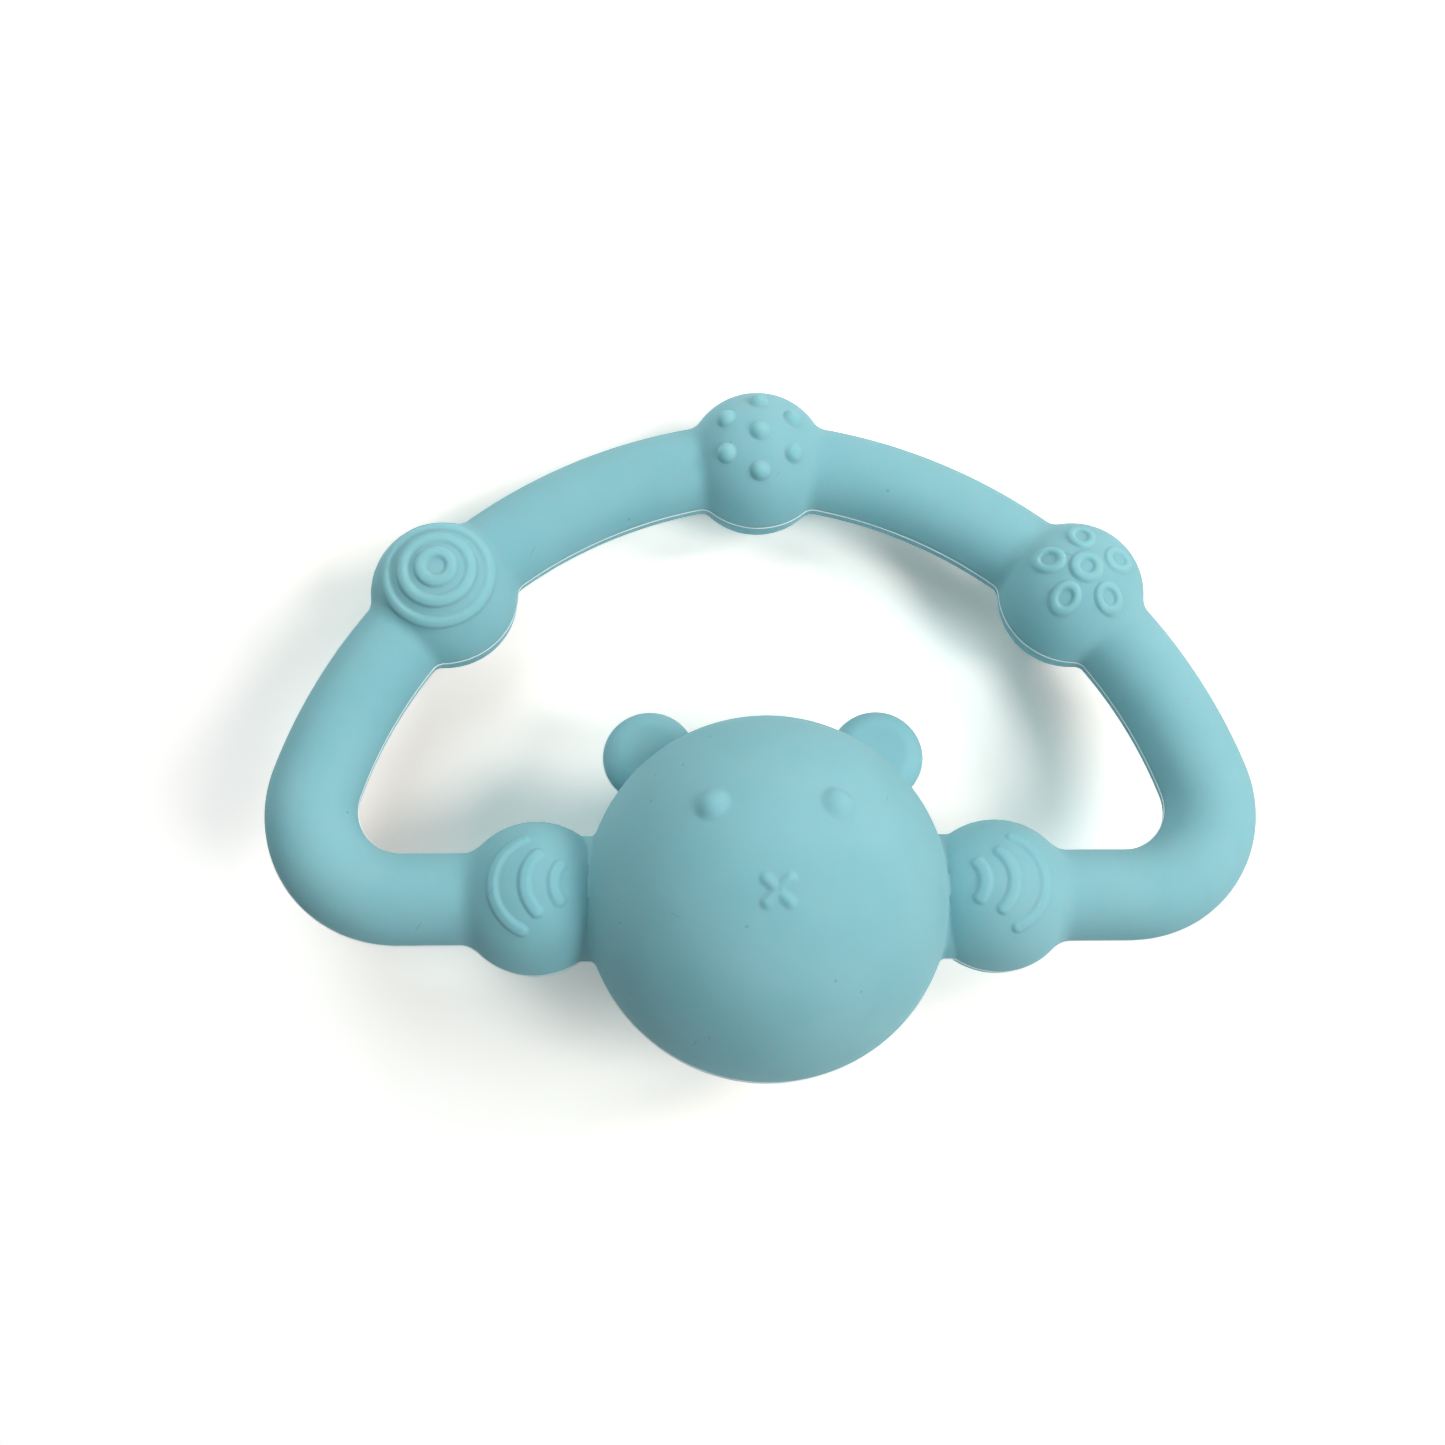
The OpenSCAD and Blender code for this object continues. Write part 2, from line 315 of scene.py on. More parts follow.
@dataclass(frozen=True)
class RingSizes:
    """Sizes of the moulding in millimetres, each of which is a named input of the node trees."""

    tube_r: float = 4.35
    corner_r: float = 8.8
    arch_r: float = 48.0
    bead_r: float = 7.25
    arch_blend: float = 0.5
    bar_blend: float = 0.8
    head_r: float = 17.2
    neck_r: float = 5.95
    neck_half: float = 0.6
    neck_blend: float = 0.42
    waist_blend: float = 0.12
    ear_r: float = 4.5
    ear_rim: float = 2.2
    ear_blend: float = 0.15
    dish_r: float = 20.0
    dish_depth: float = 0.17
    eye_r: float = 1.75
    eye_h: float = 0.76
    eye_blend: float = 0.27
    nose_r: float = 0.55
    nose_half: float = 1.4
    nose_gap: float = 0.38
    nose_h: float = 0.25
    nose_blend: float = 0.25
    dot_r: float = 0.99
    dot_h: float = 0.73
    ridge_r: float = 0.57
    ridge_h: float = 0.44
    ringlet_bend: float = 1.175
    ringlet_r: float = 0.45
    ringlet_h: float = 0.4
    oval_bend: float = 1.04
    oval_r: float = 0.37
    arc_r: float = 0.55
    arc_h: float = 0.27
    arc_blend: float = 0.2
    edge_round: float = 0.24
    relief_blend: float = 0.12


@dataclass(frozen=True)
class RingLayout:
    """Where the parts of the moulding lie in its mid-plane, in millimetres and degrees."""

    width: float = 95.0
    height: float = 70.0
    low_bead_x: float = 21.7
    neck_x: float = 16.77
    neck_flat: float = 1.25
    side_bead_y: float = 30.9
    ear_reach: float = 17.7
    ear_angle: float = 51.5
    cavity_r: float = 14.0
    rest_flat: float = 0.15
    eye_gap: float = 11.0
    eye_lift: float = 4.8
    nose_drop: float = 3.2
    dot_count: int = 6
    dot_spread: float = 3.85
    ridge_bends: tuple[float, ...] = (1.5, 3.3, 5.0)
    oval_count: int = 5
    oval_spread: float = 3.65
    oval_stretch: float = 1.1
    arc_bends: tuple[float, ...] = (4.6, 3.5, 2.3)
    arc_apexes: tuple[float, ...] = (-3.5, -0.5, 2.1)
    arc_halves: tuple[float, ...] = (66.0, 49.0, 44.0)


class SizedTree:
    """A geometry node tree whose inputs are the sizes of the moulding, by name."""

    def __init__(self, name: str, sizes: RingSizes, inputs: Mapping[str, str],
                 outputs: Mapping[str, str]) -> None:
        """Makes the empty tree.

        Args:
            name: Name of the tree.
            sizes: Sizes that become inputs.
            inputs: Further inputs, as socket types by name.
            outputs: Outputs, as socket types by name.
        """
        self.tree = bpy.data.node_groups.new(name, "GeometryNodeTree")
        self.sizes = {f.name.replace("_", " "): getattr(sizes, f.name) for f in fields(sizes)}
        for label, kind in (inputs | dict.fromkeys(self.sizes, "NodeSocketFloat")).items():
            self.tree.interface.new_socket(label, in_out="INPUT", socket_type=kind)
        for label, kind in outputs.items():
            self.tree.interface.new_socket(label, in_out="OUTPUT", socket_type=kind)
        self.entry = add_node(self.tree, "NodeGroupInput")

    def size(self, name: str) -> Field:
        """An input of this tree."""
        return Field(self.tree, self.entry.outputs[name.replace("_", " ")])

    def ask(self, other: "SizedTree", p: Field) -> list[Field]:
        """Runs another tree at the same sizes.

        Args:
            other: A tree that takes a position.
            p: The position.

        Returns:
            The other tree's outputs.
        """
        inputs = {label: self.entry.outputs[label] for label in self.sizes} | {"Position": p}
        node = add_node(self.tree, "GeometryNodeGroup", inputs, node_tree=other.tree)
        return [Field(self.tree, out) for out in node.outputs]

    def give(self, **results: Field) -> None:
        """Ends the tree with its outputs."""
        add_node(self.tree, "NodeGroupOutput", results)

    def give_mesh(self, mesh: Field) -> None:
        """Ends the tree with a plain mesh in its material.

        Args:
            mesh: The mesh.
        """
        mesh = Field.of(self.tree, "GeometryNodeRealizeInstances", {"Geometry": mesh})
        inputs = {"Geometry": mesh, "Material": self.size("Material")}
        self.give(Geometry=Field.of(self.tree, "GeometryNodeSetMaterial", inputs))

    def run(self, obj: bpy.types.Object, **extra: Any) -> bpy.types.Mesh:
        """Plain mesh that comes out when the tree runs on an object with these further inputs."""
        return apply_tree(obj, self.tree, self.sizes | extra)


@dataclass
class GripRing:
    """The silicone moulding: grip tube, beads with their textures, head, ears and face.

    Attributes:
        sizes: Sizes that its node trees take.
        at: Where its parts lie.
        pitch: Mesh width of the first casting, in millimetres.
        margin: Room round the moulding in the casting, in millimetres.
        cuts: Cuts across an edge of the casting where finer detail will stand.
        reach: Height above the plain form that points come down from, in millimetres.
        marches: Steps that they take on the way down.
        step: How far from a point its slope is felt out, in millimetres.
        weld: How near to the mid-plane a point counts as on it, in millimetres.
        hollow_sides: Sides of the hollow in the head.
    """

    sizes: RingSizes = field(default_factory=RingSizes)
    at: RingLayout = field(default_factory=RingLayout)
    pitch: float = 0.47
    margin: float = 1.5
    cuts: int = 3
    reach: float = 0.85
    marches: int = 14
    step: float = 0.02
    weld: float = 1e-4
    hollow_sides: int = 96

    @property
    def corner(self) -> Vector:
        """Centre of the right lower bend."""
        return Vector((self.at.width / 2 - self.sizes.tube_r - self.sizes.corner_r, self.sizes.corner_r, 0.0))

    @property
    def top_bead(self) -> Vector:
        """Centre of the bead at the top of the arch."""
        return Vector((0.0, self.at.height - self.sizes.head_r - self.sizes.bead_r, 0.0))

    @property
    def arch_centre(self) -> Vector:
        """Works out the arc of the right side, which runs on from the bend and ends in the top bead.

        Returns:
            Centre of the arc.
        """
        gap = self.sizes.arch_r - self.sizes.corner_r
        line = self.top_bead - self.corner
        run = line.length
        near = (gap ** 2 - self.sizes.arch_r ** 2 + run ** 2) / (2 * run)
        off = math.sqrt(gap ** 2 - near ** 2)
        along = line / run
        return self.corner + along * near + Vector((along.y, -along.x, 0.0)) * -off

    @property
    def side_bead(self) -> Vector:
        """Centre of the bead on the arch's right side."""
        rise = self.at.side_bead_y - self.arch_centre.y
        return self.arch_centre + Vector((math.sqrt(self.sizes.arch_r ** 2 - rise ** 2), rise, 0.0))

    @property
    def ear(self) -> Vector:
        """Centre of the right ear."""
        return spread(math.pi / 2, math.radians(self.at.ear_angle)) * self.at.ear_reach

    @property
    def lay_down(self) -> Matrix:
        """Works out how the moulding lies on the table, on the head and the top bead.

        Returns:
            Matrix from the moulding's millimetres to the table, in metres.
        """
        drop = self.sizes.head_r - self.sizes.bead_r
        tilt = math.asin(drop / self.top_bead.y)
        raised = self.sizes.head_r - self.at.rest_flat
        low = -self.sizes.head_r
        high = self.top_bead.y * math.cos(tilt) + self.sizes.bead_r
        place = Matrix.Translation((0.0, -(low + high) / 2, raised))
        return Matrix.Scale(MM, 4) @ place @ Matrix.Rotation(-tilt, 4, "X")

    def distance_tree(self, name: str, *outputs: str) -> SizedTree:
        """An empty tree that gives distances at a position."""
        kinds = dict.fromkeys(outputs, "NodeSocketFloat")
        return SizedTree(name, self.sizes, {"Position": "NodeSocketVector"}, kinds)

    def mesh_tree(self, name: str) -> SizedTree:
        """An empty tree that takes and gives a mesh."""
        kinds = {"Geometry": "NodeSocketGeometry", "Material": "NodeSocketMaterial"}
        return SizedTree(name, self.sizes, kinds, {"Geometry": "NodeSocketGeometry"})

    def form_tree(self) -> SizedTree:
        """Builds the plain form, before the face and the textures.

        Returns:
            A tree with the distances to the form and to its sharp creases.
        """
        tree = self.distance_tree("ring_form", "Form", "Crease")
        size = tree.size
        x, y, z = size("Position").parts()
        p = abs(x).joined(y, z)
        body = self.tube_distance(tree, p)
        low_bead = X_AXIS * self.at.low_bead_x
        for centre, name in ((self.side_bead, "arch"), (self.top_bead, "arch"), (low_bead, "bar")):
            body = blend(body, ball(p, centre, size("bead_r")), size(f"{name}_blend"))
        thin = abs(x).joined(y, z * self.at.neck_flat)
        neck = rod(thin, X_AXIS * self.at.neck_x, X_AXIS, size("neck_half"), size("neck_r"))
        head = blend(p.vector("LENGTH") - size("head_r"), neck, size("neck_blend"))
        crease = abs(body).most(abs(head))
        body = blend(body, head, size("waist_blend"))
        ear = self.ear_distance(tree, p)
        crease = crease.least(abs(body).most(abs(ear)))
        tree.give(Form=blend(body, ear, size("ear_blend")), Crease=crease)
        return tree

    def tube_distance(self, tree: SizedTree, p: Field) -> Field:
        """Runs the right half of the grip tube along the bar, round the bend and up the arch.

        Args:
            tree: The tree that works it out.
            p: The point.

        Returns:
            Distance from the point to the tube.
        """
        tube = rod(p, Vector(), X_AXIS, self.corner.x, tree.size("tube_r"))
        join = math.atan2(*(self.corner - self.arch_centre).yx)
        top = math.atan2(*(self.top_bead - self.arch_centre).yx)
        bends = ((self.corner, -math.pi / 2, join, "corner_r"), (self.arch_centre, join, top, "arch_r"))
        for centre, start, end, bend in bends:
            middle = spread(math.pi / 2, (start + end) / 2)
            half = (end - start) / 2
            arc = bent_rod(p, centre, middle, Z_AXIS, tree.size(bend), tree.size("tube_r"), half)
            tube = tube.least(arc)
        return tube

    def ear_distance(self, tree: SizedTree, p: Field) -> Field:
        """Shapes the right ear, a round-edged disc with a shallow dish in its face.

        Args:
            tree: The tree that works it out.
            p: The point.

        Returns:
            Distance from the point to the ear.
        """
        size = tree.size
        arm = p.vector("SUBTRACT", self.ear)
        x, y, z = arm.parts()
        over = (x.hypot(y) - size("ear_r") + size("ear_rim")).most(0.0)
        disc = over.hypot(z) - size("ear_rim")
        above = size("ear_rim") - size("dish_depth") + size("dish_r")
        dish = ball(arm, above.along(Z_AXIS), size("dish_r"))
        return carve(disc, dish, size("ear_blend"))

    def relief_tree(self) -> SizedTree:
        """Builds the raised details alone: eyes, nose and the textures of the beads.

        Returns:
            A tree with the distance to each kind of detail.
        """
        tree = self.distance_tree("ring_relief", "Eyes", "Nose", "Arcs", "Textures")
        p = tree.size("Position")
        x, y, z = p.parts()
        mirrored = abs(x).joined(y, z)
        eye, nose, *arms = self.face(tree, p, mirrored)
        for arm in arms:
            nose = blend(nose, arm, tree.size("relief_blend"))
        arcs = self.nearest(self.arcs(tree, mirrored))
        shapes = [*self.dots(tree, p), *self.ridges(tree, p), *self.ringlets(tree, p)]
        tree.give(Eyes=eye, Nose=nose, Arcs=arcs, Textures=self.nearest(shapes))
        return tree

    @staticmethod
    def nearest(shapes: Iterable[Field]) -> Field:
        """Takes several shapes together.

        Args:
            shapes: Distances to the shapes.

        Returns:
            Distance to the nearest of them.
        """
        first, *rest = shapes
        for shape in rest:
            first = first.least(shape)
        return first

    def face(self, tree: SizedTree, p: Field, mirrored: Field) -> Iterable[Field]:
        """Shapes two low domes for eyes, and four short bars that meet in a cross for a nose.

        Args:
            tree: The tree that works them out.
            p: The point.
            mirrored: The point, or its mirror image, on the right side.

        Yields:
            Distance to the eyes, then to each bar of the nose.
        """
        size = tree.size
        head = self.sizes.head_r
        out = Vector((self.at.eye_gap / 2, self.at.eye_lift, 0.0))
        out.z = math.sqrt(head ** 2 - out.length_squared)
        middle = (size("head_r") + size("eye_h") - size("eye_r")).along(out / head)
        yield ball(mirrored, middle, size("eye_r"))
        polar = math.asin(self.at.nose_drop / head)
        out = spread(polar, -math.pi / 2)
        up = out.cross(X_AXIS)
        middle = (size("head_r") + size("nose_h") - size("nose_r")).along(out)
        reach = (size("nose_half") + size("nose_gap")) * 0.5
        half = (size("nose_half") - size("nose_gap")) * 0.5
        for lean in (X_AXIS + up, X_AXIS - up, -X_AXIS - up, -X_AXIS + up):
            axis = lean.normalized()
            yield rod(p, middle.vector("ADD", reach.along(axis)), axis, half, size("nose_r"))

    def dots(self, tree: SizedTree, p: Field) -> Iterable[Field]:
        """Shapes one middle dot and more round it, on the top bead.

        Args:
            tree: The tree that works them out.
            p: The point.

        Yields:
            Distance to each dot.
        """
        size = tree.size
        arm = p.vector("SUBTRACT", self.top_bead)
        polar = math.asin(self.at.dot_spread / self.sizes.bead_r)
        count = self.at.dot_count
        rest = (spread(polar, math.tau * (i + 0.5) / count) for i in range(count))
        for out in (Z_AXIS, *rest):
            yield ball(arm, (size("bead_r") + size("dot_h") - size("dot_r")).along(out), size("dot_r"))

    def ridges(self, tree: SizedTree, p: Field) -> Iterable[Field]:
        """Shapes rings one inside another, on the left bead.

        Args:
            tree: The tree that works them out.
            p: The point.

        Yields:
            Distance to each ring.
        """
        size = tree.size
        left = Vector((-self.side_bead.x, self.side_bead.y, 0.0))
        arm = p.vector("SUBTRACT", left)
        out = size("bead_r")
        cap = arm.vector("LENGTH") - out - size("ridge_h")
        for bend in self.at.ridge_bends:
            centre = (out * out - bend ** 2).math("SQRT").along(Z_AXIS)
            ridge = bent_rod(arm, centre, X_AXIS, Z_AXIS, bend, size("ridge_r"))
            yield overlap(ridge, cap, size("edge_round"))

    def ringlets(self, tree: SizedTree, p: Field) -> Iterable[Field]:
        """Shapes one small ring in the middle and ovals that point to it, on the right bead.

        Args:
            tree: The tree that works them out.
            p: The point.

        Yields:
            Distance to each ringlet.
        """
        size = tree.size
        arm = p.vector("SUBTRACT", self.side_bead)
        x, y, z = arm.parts()
        lift = arm.vector("LENGTH") - size("bead_r")
        cap = (lift - size("ringlet_h")).most(-z)
        plans = [(x.hypot(y) - size("ringlet_bend"), size("ringlet_r"))]
        for i in range(self.at.oval_count):
            out = spread(math.pi / 2, math.pi / 2 + math.tau * i / self.at.oval_count)
            long = (arm.vector("DOT_PRODUCT", out) - self.at.oval_spread) * (1 / self.at.oval_stretch)
            short = arm.vector("DOT_PRODUCT", Z_AXIS.cross(out))
            plans.append((long.hypot(short) - size("oval_bend"), size("oval_r")))
        for plan, r in plans:
            yield overlap(plan.hypot(lift) - r, cap, size("edge_round"))

    def arcs(self, tree: SizedTree, p: Field) -> Iterable[Field]:
        """Shapes three arcs that open towards the head, on each lower bead.

        Args:
            tree: The tree that works them out.
            p: The point, or its mirror image, on the right side.

        Yields:
            Distance to each arc.
        """
        size = tree.size
        arm = p.vector("SUBTRACT", X_AXIS * self.at.low_bead_x)
        out = self.sizes.bead_r
        cap = arm.vector("LENGTH") - size("bead_r") - size("arc_h")
        for bend, apex, half in zip(self.at.arc_bends, self.at.arc_apexes, self.at.arc_halves):
            polar = math.asin(bend / out)
            lean = polar + math.asin(apex / out)
            axis = spread(lean, math.pi)
            middle = Y_AXIS.cross(axis)
            length = size("bead_r") * math.cos(polar)
            arc = bent_rod(arm, length.along(axis), middle, axis, bend, size("arc_r"), math.radians(half))
            yield overlap(arc, cap, size("edge_round"))

    def moulding_tree(self, form: SizedTree, relief: SizedTree) -> SizedTree:
        """Joins the plain form and the raised details.

        Args:
            form: Tree of the plain form.
            relief: Tree of the details.

        Returns:
            A tree with the distance to the finished moulding.
        """
        tree = self.distance_tree("ring_moulding", "Moulding")
        p = tree.size("Position")
        body = tree.ask(form, p)[0]
        for shape, name in zip(tree.ask(relief, p), ("eye", "nose", "arc", "relief")):
            body = blend(body, shape, tree.size(f"{name}_blend"))
        tree.give(Moulding=body)
        return tree

    def slope(self, tree: SizedTree, distance: SizedTree, p: Field) -> Field:
        """Feels out a distance from four points about the place.

        Args:
            tree: The tree that works it out.
            distance: Tree of the distance.
            p: The place.

        Returns:
            The distance's gradient, which points outward.
        """
        total = None
        for corner in ((1, -1, -1), (-1, -1, 1), (-1, 1, -1), (1, 1, 1)):
            away = Vector(corner)
            value = tree.ask(distance, p.vector("ADD", away * self.step))[0]
            arm = value.along(away / (4 * self.step))
            total = total.vector("ADD", arm) if total else arm
        return total

    def settle(self, tree: SizedTree, mesh: Field, distance: SizedTree, rounds: int = 2) -> Field:
        """Moves a mesh's points on to the surface of a distance tree.

        Args:
            tree: The tree that works on the mesh.
            mesh: The mesh, which lies near the surface.
            distance: Tree of the distance.
            rounds: How often the points are moved.

        Returns:
            The mesh on the surface.
        """
        p = Field.of(tree.tree, "GeometryNodeInputPosition")
        slope = self.slope(tree, distance, p)
        share = tree.ask(distance, p)[0].math("DIVIDE", slope.vector("DOT_PRODUCT", slope))
        shift = slope.vector("SCALE", Scale=-share)
        for _ in range(rounds):
            mesh = Field.of(tree.tree, "GeometryNodeSetPosition", {"Geometry": mesh, "Offset": shift})
        return mesh

    def cast_tree(self, form: SizedTree, relief: SizedTree) -> SizedTree:
        """Casts the plain form as a mesh and marks where finer detail will stand.

        Args:
            form: Tree of the plain form.
            relief: Tree of the details.

        Returns:
            A tree that makes the mesh out of nothing.
        """
        tree = self.mesh_tree("ring_cast")
        p = Field.of(tree.tree, "GeometryNodeInputPosition")
        room = Vector((self.margin, self.margin, self.margin))
        low = Vector((-self.at.width / 2, -self.sizes.head_r, -self.sizes.head_r)) - room
        high = Vector((self.at.width / 2, self.at.height - self.sizes.head_r, self.sizes.head_r)) + room
        counts = [math.ceil(side / self.pitch) for side in high - low]
        inputs = {"Density": -tree.ask(form, p)[0], "Background": -self.pitch, "Min": low, "Max": high}
        inputs |= {f"Resolution {axis}": count for axis, count in zip("XYZ", counts)}
        cube = Field.of(tree.tree, "GeometryNodeVolumeCube", inputs)
        mesh = Field.of(tree.tree, "GeometryNodeVolumeToMesh", {"Volume": cube, "Threshold": 0.0})
        mesh = self.settle(tree, mesh, form)
        near = self.nearest((*tree.ask(relief, p), tree.ask(form, p)[1])).math("LESS_THAN", self.pitch)
        inputs = {"Geometry": mesh, "Name": Mark.FINE.value, "Value": near}
        tree.give_mesh(Field.of(tree.tree, "GeometryNodeStoreNamedAttribute", inputs))
        return tree

    def raise_tree(self, form: SizedTree, relief: SizedTree, moulding: SizedTree) -> SizedTree:
        """Raises the details: points start above the plain form and come down to the first surface.

        Args:
            form: Tree of the plain form.
            relief: Tree of the details.
            moulding: Tree of the finished moulding.

        Returns:
            A tree that takes the divided casting and gives the moulding.
        """
        tree = self.mesh_tree("ring_raise")
        mesh = self.settle(tree, tree.size("Geometry"), form, 1)
        p = Field.of(tree.tree, "GeometryNodeInputPosition")
        near = self.nearest(tree.ask(relief, p)).math("LESS_THAN", self.pitch)
        out = self.slope(tree, form, p).vector("NORMALIZE")
        keep = add_node(tree.tree, "GeometryNodeCaptureAttribute", {"Geometry": mesh}, domain="POINT")
        for name, kind, value in (("out", "VECTOR", out), ("near", "FLOAT", near)):
            keep.capture_items.new(kind, name)
            tree.tree.links.new(value.socket, keep.inputs[name])
        out, near = (Field(tree.tree, keep.outputs[name]) for name in ("out", "near"))
        lift = out.vector("SCALE", Scale=near * self.reach)
        drop = out.vector("SCALE", Scale=-tree.ask(moulding, p)[0])
        mesh = Field(tree.tree, keep.outputs[0])
        for offset in [lift] + [drop] * self.marches:
            mesh = Field.of(tree.tree, "GeometryNodeSetPosition", {"Geometry": mesh, "Offset": offset})
        mesh = self.settle(tree, mesh, moulding)
        inputs = {"Geometry": mesh, "Name": Mark.TEXTURE_GAP.value, "Value": tree.ask(relief, p)[-1]}
        tree.give_mesh(Field.of(tree.tree, "GeometryNodeStoreNamedAttribute", inputs))
        return tree

    def refine(self, mesh: bpy.types.Mesh) -> None:
        """Divides the faces where finer detail will stand.

        Args:
            mesh: The casting.
        """
        bm = bmesh.new()
        bm.from_mesh(mesh)
        mark = bm.verts.layers.float[Mark.FINE.value]
        edges = {edge for face in bm.faces if any(v[mark] > 0.5 for v in face.verts) for edge in face.edges}
        bmesh.ops.subdivide_edges(bm, edges=list(edges), cuts=self.cuts, use_grid_fill=True)
        bm.to_mesh(mesh)
        bm.free()

    def cut(self, bm: bmesh.types.BMesh, sides: tuple[Half, ...]) -> None:
        """Cuts a mesh at the mid-plane.

        Args:
            bm: The mesh, in millimetres.
            sides: Halves to keep. Without any, only the line of the cut is left.
        """
        everything = [*bm.verts, *bm.edges, *bm.faces]
        bmesh.ops.bisect_plane(bm, geom=everything, dist=self.weld, plane_no=Z_AXIS,
                               clear_inner=Half.REAR not in sides, clear_outer=Half.FRONT not in sides)

    def outline(self, whole: bpy.types.Mesh) -> bpy.types.Mesh:
        """Finds where the mid-plane leaves the moulding.

        Args:
            whole: Mesh of the whole moulding, in millimetres.

        Returns:
            Loops of edges, in millimetres.
        """
        bm = bmesh.new()
        bm.from_mesh(whole)
        self.cut(bm, ())
        mesh = bpy.data.meshes.new("outline")
        bm.to_mesh(mesh)
        bm.free()
        return mesh

    def hollow(self, side: Half) -> bpy.types.Mesh:
        """Makes one half of the hollow in the head.

        Args:
            side: Which half.

        Returns:
            An open mesh in millimetres, whose faces look into the hollow.
        """
        bm = bmesh.new()
        bmesh.ops.create_uvsphere(bm, u_segments=self.hollow_sides, v_segments=self.hollow_sides // 2,
                                  radius=self.at.cavity_r)
        self.cut(bm, (side,))
        bmesh.ops.reverse_faces(bm, faces=bm.faces[:])
        mesh = bpy.data.meshes.new("hollow")
        bm.to_mesh(mesh)
        bm.free()
        return mesh

    def half(self, whole: bpy.types.Mesh, side: Half) -> bpy.types.Mesh:
        """Cuts one half out of the whole moulding, hollow in the head.

        Args:
            whole: Mesh of the whole moulding, in millimetres.
            side: Which half to keep.

        Returns:
            The closed half, laid on the table, in metres.
        """
        bm = bmesh.new()
        bm.from_mesh(whole)
        self.cut(bm, (side,))
        for v in bm.verts:
            if v.is_boundary:
                v.co.z = 0.0
        hollow = self.hollow(side)
        bm.from_mesh(hollow)
        bpy.data.meshes.remove(hollow)
        rims = [edge for edge in bm.edges if edge.is_boundary]
        bmesh.ops.triangle_fill(bm, edges=rims, use_beauty=False, use_dissolve=False,
                                normal=Z_AXIS * -side.value)
        for edge in rims:
            edge.smooth = False
        bmesh.ops.triangulate(bm, faces=[face for face in bm.faces if len(face.verts) > 4])
        bm.transform(self.lay_down)
        for v in bm.verts:
            v.co.z = max(v.co.z, 0.0)
        for face in bm.faces:
            face.smooth = True
        bmesh.ops.recalc_face_normals(bm, faces=bm.faces[:])
        mesh = bpy.data.meshes.new(f"{side.name.lower()}_silicone")
        bm.to_mesh(mesh)
        bm.free()
        return mesh

    def build(self, material: bpy.types.Material) -> tuple[dict[Half, bpy.types.Object], bpy.types.Mesh]:
        """Makes both halves.

        Args:
            material: Finish of the silicone.

        Returns:
            The two objects by side, and the loops of the parting line.
        """
        form = self.form_tree()
        relief = self.relief_tree()
        moulding = self.moulding_tree(form, relief)
        blank = bpy.data.objects.new("blank", bpy.data.meshes.new("blank"))
        bpy.context.scene.collection.objects.link(blank)
        blank.data = self.cast_tree(form, relief).run(blank, Material=material)
        self.refine(blank.data)
        whole = self.raise_tree(form, relief, moulding).run(blank, Material=material)
        bpy.data.objects.remove(blank)
        halves = {}
        for side in Half:
            mesh = self.half(whole, side)
            mesh.materials.clear()
            mesh.materials.append(material)
            halves[side] = bpy.data.objects.new(mesh.name, mesh)
            bpy.context.scene.collection.objects.link(halves[side])
        return halves, self.outline(whole)

    def dress(self, halves: Mapping[Half, bpy.types.Object]) -> None:
        """Puts the halves in place of the frame's.

        Args:
            halves: The two objects by side.
        """
        for side, obj in halves.items():
            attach(obj, "ring")
            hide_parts(f"{side.name.lower()}_half")
            log.info("%s: %d faces", obj.name, len(obj.data.polygons))


@dataclass
class PartingLine:
    """Thin lip of silicone that the mould leaves along the mid-plane, in millimetres."""

    lip_r: float = 0.07
    stride: float = 0.35
    sides: int = 8

    def tree(self) -> bpy.types.NodeTree:
        """Sweeps a small round along the outline.

        Returns:
            A tree that takes the outline and gives the lip.
        """
        tree = bpy.data.node_groups.new("parting_lip", "GeometryNodeTree")
        kinds = {"Geometry": "Geometry", "Lip radius": "Float", "Stride": "Float", "Sides": "Int",
                 "Material": "Material"}
        for label, kind in kinds.items():
            tree.interface.new_socket(label, in_out="INPUT", socket_type=f"NodeSocket{kind}")
        tree.interface.new_socket("Geometry", in_out="OUTPUT", socket_type="NodeSocketGeometry")
        entry = add_node(tree, "NodeGroupInput").outputs
        path = Field.of(tree, "GeometryNodeMeshToCurve", {"Mesh": entry["Geometry"]})
        inputs = {"Curve": path, "Length": entry["Stride"]}
        path = Field.of(tree, "GeometryNodeResampleCurve", inputs, mode="LENGTH")
        inputs = {"Resolution": entry["Sides"], "Radius": entry["Lip radius"]}
        edge = Field.of(tree, "GeometryNodeCurvePrimitiveCircle", inputs)
        lip = Field.of(tree, "GeometryNodeCurveToMesh", {"Curve": path, "Profile Curve": edge})
        lip = Field.of(tree, "GeometryNodeSetShadeSmooth", {"Geometry": lip})
        lip = Field.of(tree, "GeometryNodeRealizeInstances", {"Geometry": lip})
        lip = Field.of(tree, "GeometryNodeSetMaterial", {"Geometry": lip, "Material": entry["Material"]})
        add_node(tree, "NodeGroupOutput", {"Geometry": lip})
        return tree

    def build(self, outline: bpy.types.Mesh, place: Matrix, material: bpy.types.Material) -> bpy.types.Object:
        """Makes the lip.

        Args:
            outline: Loops that the lip follows, in millimetres.
            place: Matrix that lays it on the table, in metres.
            material: Finish of the lip.

        Returns:
            The lip's object.
        """
        obj = bpy.data.objects.new("parting_lip", outline)
        bpy.context.scene.collection.objects.link(obj)
        values = {"Lip radius": self.lip_r, "Stride": self.stride, "Sides": self.sides, "Material": material}
        obj.data = apply_tree(obj, self.tree(), values)
        obj.data.transform(place)
        return obj

    def dress(self, obj: bpy.types.Object) -> None:
        """Lets the lip go with the ring.

        Args:
            obj: The lip's object.
        """
        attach(obj, "ring")
        log.info("%s: %d faces", obj.name, len(obj.data.polygons))


